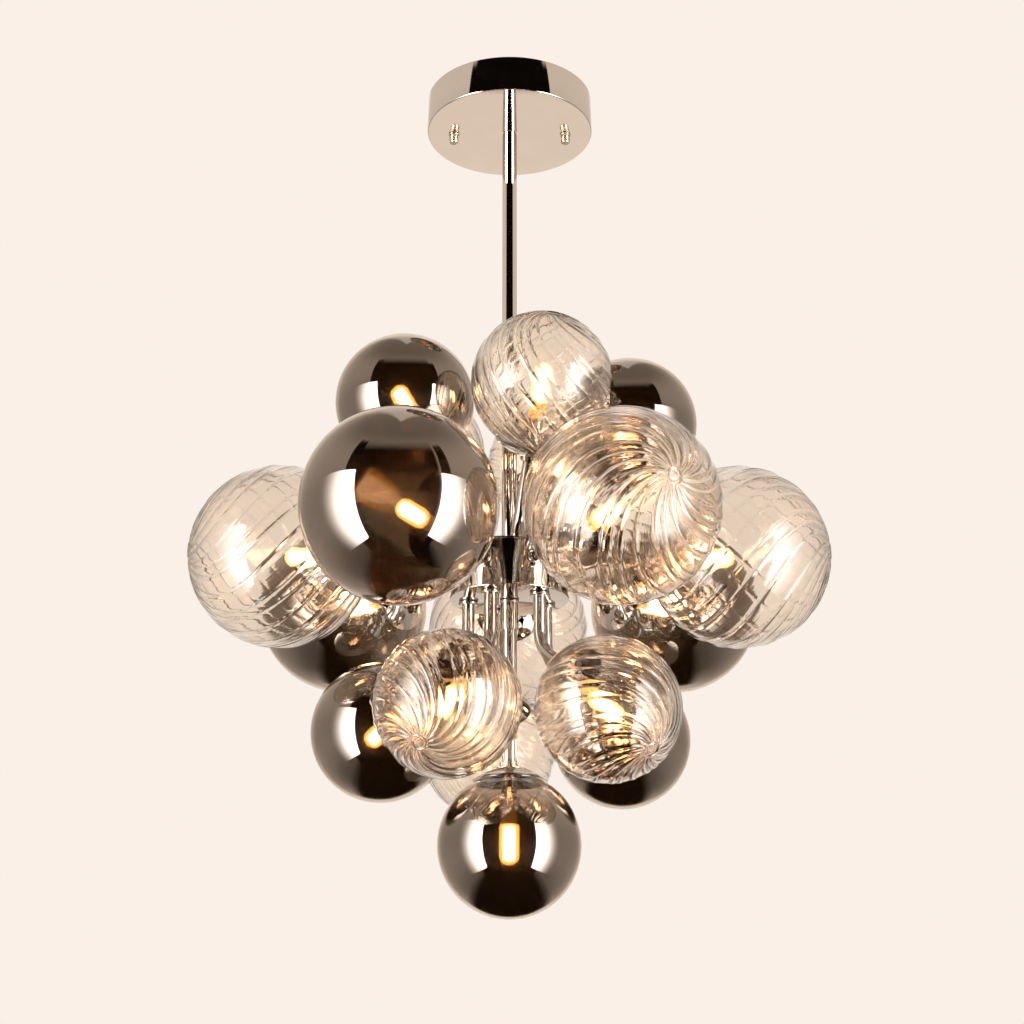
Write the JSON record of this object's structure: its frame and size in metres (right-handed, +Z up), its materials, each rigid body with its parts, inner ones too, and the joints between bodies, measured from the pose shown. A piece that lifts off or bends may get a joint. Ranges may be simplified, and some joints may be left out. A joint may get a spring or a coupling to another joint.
{
  "type": "chandelier",
  "caption": "Cluster chandelier: a round canopy and rod carry a hub drum whose bent arms hold clear ribbed and smoke glass globes.",
  "frame": {"origin": "on the ceiling plane, at the middle of the crossbar's top face, on the rod's axis", "axes": "+Z up into the ceiling along the rod, front of the picture towards -Y, +X to the right"},
  "size_m": [0.5396, 0.5337, 0.765],
  "materials": {
    "polished_nickel": "mirror polished",
    "zinc_plated_steel": "zinc plated",
    "clear_glass": "clear blown glass with spiral ribs, faint champagne tint",
    "smoke_glass": "half mirrored smoke glass, clearer towards the neck",
    "warm_lamp": "frosted capsule, lit warm white"
  },
  "bodies": {
    "root": {"arm_lower_1": "polished_nickel", "arm_lower_2": "polished_nickel", "arm_lower_3": "polished_nickel", "arm_lower_4": "polished_nickel", "arm_lower_5": "polished_nickel", "arm_middle_1": "polished_nickel", "arm_middle_2": "polished_nickel", "arm_middle_3": "polished_nickel", "arm_middle_4": "polished_nickel", "arm_middle_5": "polished_nickel", "arm_middle_6": "polished_nickel", "arm_middle_7": "polished_nickel", "arm_upper_1": "polished_nickel", "arm_upper_2": "polished_nickel", "arm_upper_3": "polished_nickel", "arm_upper_4": "polished_nickel", "arm_upper_5": "polished_nickel", "bottom_stem": "polished_nickel", "bulb_bottom": "warm_lamp", "bulb_lower_1": "warm_lamp", "bulb_lower_2": "warm_lamp", "bulb_lower_3": "warm_lamp", "bulb_lower_4": "warm_lamp", "bulb_lower_5": "warm_lamp", "bulb_middle_1": "warm_lamp", "bulb_middle_2": "warm_lamp", "bulb_middle_3": "warm_lamp", "bulb_middle_4": "warm_lamp", "bulb_middle_5": "warm_lamp", "bulb_middle_6": "warm_lamp", "bulb_middle_7": "warm_lamp", "bulb_upper_1": "warm_lamp", "bulb_upper_2": "warm_lamp", "bulb_upper_3": "warm_lamp", "bulb_upper_4": "warm_lamp", "bulb_upper_5": "warm_lamp", "canopy": "polished_nickel", "ceiling_crossbar": "zinc_plated_steel", "down_rod": "polished_nickel", "hub_drum": "polished_nickel"},
    "canopy_nut_left": {"canopy_nut_left": "polished_nickel"},
    "canopy_nut_right": {"canopy_nut_right": "polished_nickel"},
    "globe_bottom": {"globe_bottom": "smoke_glass"},
    "globe_lower_1": {"globe_lower_1": "clear_glass"},
    "globe_lower_2": {"globe_lower_2": "clear_glass"},
    "globe_lower_3": {"globe_lower_3": "smoke_glass"},
    "globe_lower_4": {"globe_lower_4": "clear_glass"},
    "globe_lower_5": {"globe_lower_5": "smoke_glass"},
    "globe_middle_1": {"globe_middle_1": "clear_glass"},
    "globe_middle_2": {"globe_middle_2": "clear_glass"},
    "globe_middle_3": {"globe_middle_3": "smoke_glass"},
    "globe_middle_4": {"globe_middle_4": "clear_glass"},
    "globe_middle_5": {"globe_middle_5": "smoke_glass"},
    "globe_middle_6": {"globe_middle_6": "clear_glass"},
    "globe_middle_7": {"globe_middle_7": "smoke_glass"},
    "globe_upper_1": {"globe_upper_1": "clear_glass"},
    "globe_upper_2": {"globe_upper_2": "smoke_glass"},
    "globe_upper_3": {"globe_upper_3": "clear_glass"},
    "globe_upper_4": {"globe_upper_4": "clear_glass"},
    "globe_upper_5": {"globe_upper_5": "smoke_glass"}
  },
  "joints": [
    {"name": "canopy_nut_left_turn", "type": "hinge", "parent": "root", "child": "canopy_nut_left", "pos_m": [-0.053, 0, 0], "axis": [0, 0, -1], "continuous": true},
    {"name": "canopy_nut_right_turn", "type": "hinge", "parent": "root", "child": "canopy_nut_right", "pos_m": [0.053, 0, 0], "axis": [0, 0, -1], "continuous": true},
    {"name": "globe_bottom_turn", "type": "hinge", "parent": "root", "child": "globe_bottom", "pos_m": [0, 0, -0.70498], "axis": [0, 0, -1], "range_deg": [0, 540]},
    {"name": "globe_lower_1_turn", "type": "hinge", "parent": "root", "child": "globe_lower_1", "pos_m": [-0.04914, -0.09942, -0.607], "axis": [-0.3344, -0.6766, -0.6561], "range_deg": [0, 540]},
    {"name": "globe_lower_2_turn", "type": "hinge", "parent": "root", "child": "globe_lower_2", "pos_m": [0.07937, -0.07745, -0.607], "axis": [0.5401, -0.5271, -0.6561], "range_deg": [0, 540]},
    {"name": "globe_lower_3_turn", "type": "hinge", "parent": "root", "child": "globe_lower_3", "pos_m": [0.09819, 0.05155, -0.607], "axis": [0.6682, 0.3508, -0.6561], "range_deg": [0, 540]},
    {"name": "globe_lower_4_turn", "type": "hinge", "parent": "root", "child": "globe_lower_4", "pos_m": [-0.01869, 0.10931, -0.607], "axis": [-0.1272, 0.7439, -0.6561], "range_deg": [0, 540]},
    {"name": "globe_lower_5_turn", "type": "hinge", "parent": "root", "child": "globe_lower_5", "pos_m": [-0.10974, 0.01601, -0.607], "axis": [-0.7468, 0.1089, -0.6561], "range_deg": [0, 540]},
    {"name": "globe_middle_1_turn", "type": "hinge", "parent": "root", "child": "globe_middle_1", "pos_m": [0.08742, -0.17844, -0.469], "axis": [0.4399, -0.898, 0], "range_deg": [0, 540]},
    {"name": "globe_middle_2_turn", "type": "hinge", "parent": "root", "child": "globe_middle_2", "pos_m": [0.19401, -0.04291, -0.469], "axis": [0.9764, -0.216, 0], "range_deg": [0, 540]},
    {"name": "globe_middle_3_turn", "type": "hinge", "parent": "root", "child": "globe_middle_3", "pos_m": [0.15451, 0.12493, -0.469], "axis": [0.7776, 0.6287, 0], "range_deg": [0, 540]},
    {"name": "globe_middle_4_turn", "type": "hinge", "parent": "root", "child": "globe_middle_4", "pos_m": [-0.00134, 0.1987, -0.469], "axis": [-0.0067, 1, 0], "range_deg": [0, 540]},
    {"name": "globe_middle_5_turn", "type": "hinge", "parent": "root", "child": "globe_middle_5", "pos_m": [-0.15618, 0.12284, -0.469], "axis": [-0.786, 0.6182, 0], "range_deg": [0, 540]},
    {"name": "globe_middle_6_turn", "type": "hinge", "parent": "root", "child": "globe_middle_6", "pos_m": [-0.19342, -0.04552, -0.469], "axis": [-0.9734, -0.2291, 0], "range_deg": [0, 540]},
    {"name": "globe_middle_7_turn", "type": "hinge", "parent": "root", "child": "globe_middle_7", "pos_m": [-0.08501, -0.1796, -0.469], "axis": [-0.4278, -0.9039, 0], "range_deg": [0, 540]},
    {"name": "globe_upper_1_turn", "type": "hinge", "parent": "root", "child": "globe_upper_1", "pos_m": [0.02741, -0.10374, -0.334], "axis": [0.1537, -0.5818, 0.7986], "range_deg": [0, 540]},
    {"name": "globe_upper_2_turn", "type": "hinge", "parent": "root", "child": "globe_upper_2", "pos_m": [0.10713, -0.00599, -0.334], "axis": [0.6009, -0.0336, 0.7986], "range_deg": [0, 540]},
    {"name": "globe_upper_3_turn", "type": "hinge", "parent": "root", "child": "globe_upper_3", "pos_m": [0.0388, 0.10004, -0.334], "axis": [0.2176, 0.5611, 0.7986], "range_deg": [0, 540]},
    {"name": "globe_upper_4_turn", "type": "hinge", "parent": "root", "child": "globe_upper_4", "pos_m": [-0.08315, 0.06782, -0.334], "axis": [-0.4664, 0.3804, 0.7986], "range_deg": [0, 540]},
    {"name": "globe_upper_5_turn", "type": "hinge", "parent": "root", "child": "globe_upper_5", "pos_m": [-0.09019, -0.05813, -0.334], "axis": [-0.5059, -0.326, 0.7986], "range_deg": [0, 540]}
  ]
}
